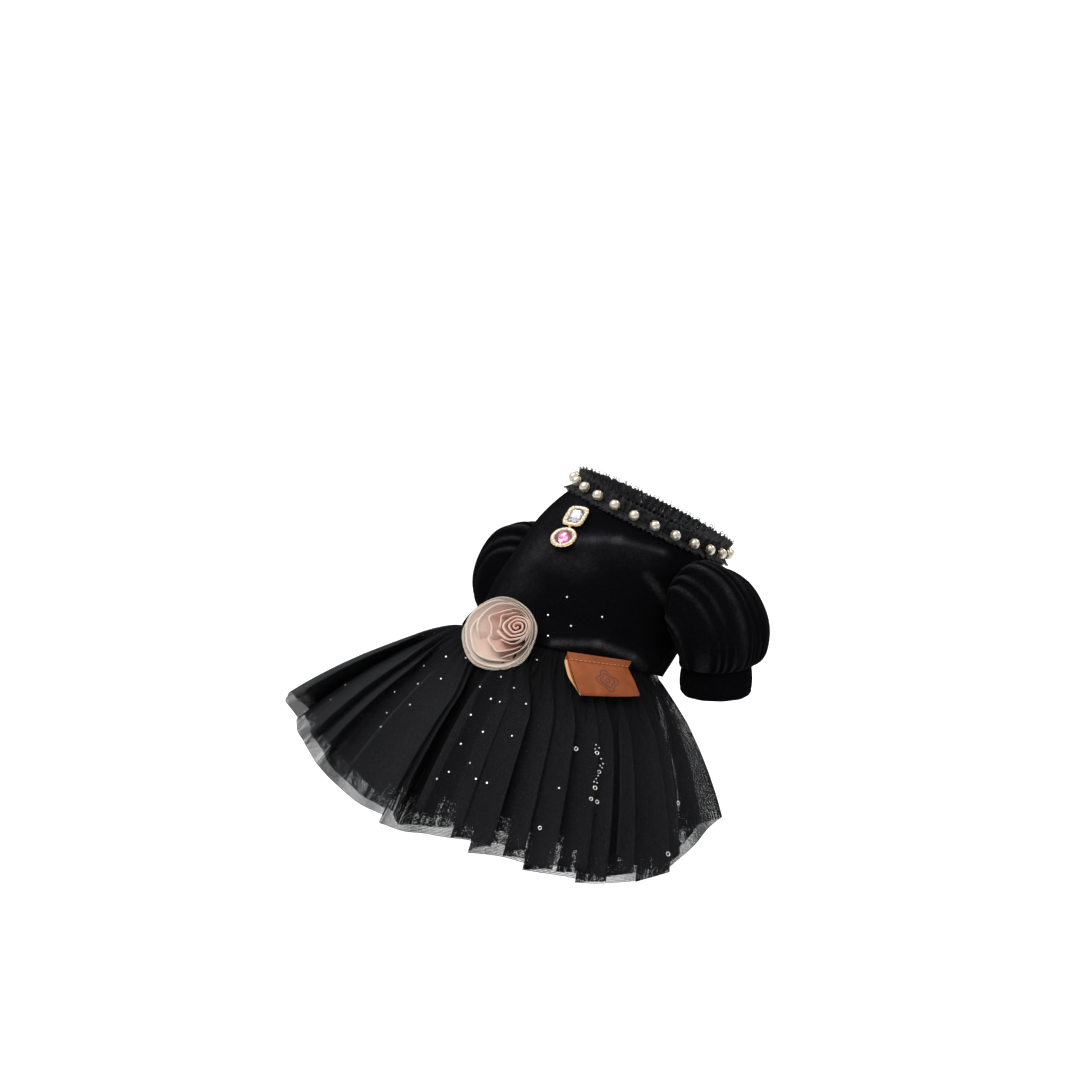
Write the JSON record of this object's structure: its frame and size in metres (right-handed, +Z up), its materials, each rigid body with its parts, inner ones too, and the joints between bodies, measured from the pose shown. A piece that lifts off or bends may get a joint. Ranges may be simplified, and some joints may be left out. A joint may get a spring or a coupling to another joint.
{
  "type": "pet dress",
  "caption": "Small velvet pet dress with puff sleeves, lace collar with pearls, stone brooch, organza rose, leather tag and a layered tulle skirt.",
  "frame": {"origin": "on the body's axis inside the bodice, level with the armholes", "axes": "+Z up, +Y towards the neck and chest, +X the wearer's right side"},
  "size_m": [0.3358, 0.3909, 0.2513],
  "materials": {
    "velvet": "black velvet pile",
    "lace": "black ruffled lace",
    "tulle": "black fine net",
    "organza": "pale peach organza",
    "leather": "smooth cognac leather",
    "gold": "polished gold plate",
    "pearl": "pearl lustre",
    "clear_stone": "clear cut glass",
    "pink_stone": "pink cut glass"
  },
  "bodies": {
    "root": {"bodice": "velvet", "sleeve_puff_left": "velvet", "sleeve_puff_right": "velvet", "cuff_left": "velvet", "cuff_right": "velvet", "collar_lace": "lace", "brooch_setting": "gold", "drop_setting": "gold", "jump_ring": "gold", "clear_stone": "clear_stone", "pink_stone": "pink_stone", "rose_back": "organza", "rose_heart": "organza", "rose_petals": "organza", "leather_tag": "leather", "skirt_inner": "tulle", "skirt_middle": "tulle", "skirt_outer": "tulle", "pearl_01": "pearl", "pearl_02": "pearl", "pearl_03": "pearl", "pearl_04": "pearl", "pearl_05": "pearl", "pearl_06": "pearl", "pearl_07": "pearl", "pearl_08": "pearl", "pearl_09": "pearl", "pearl_10": "pearl", "pearl_11": "pearl", "pearl_12": "pearl", "pearl_13": "pearl", "pearl_14": "pearl", "pearl_15": "pearl", "pearl_16": "pearl", "pearl_17": "pearl", "pearl_18": "pearl", "pearl_19": "pearl", "pearl_20": "pearl", "pearl_21": "pearl", "pearl_22": "pearl", "pearl_23": "pearl", "pearl_24": "pearl"}
  },
  "joints": []
}
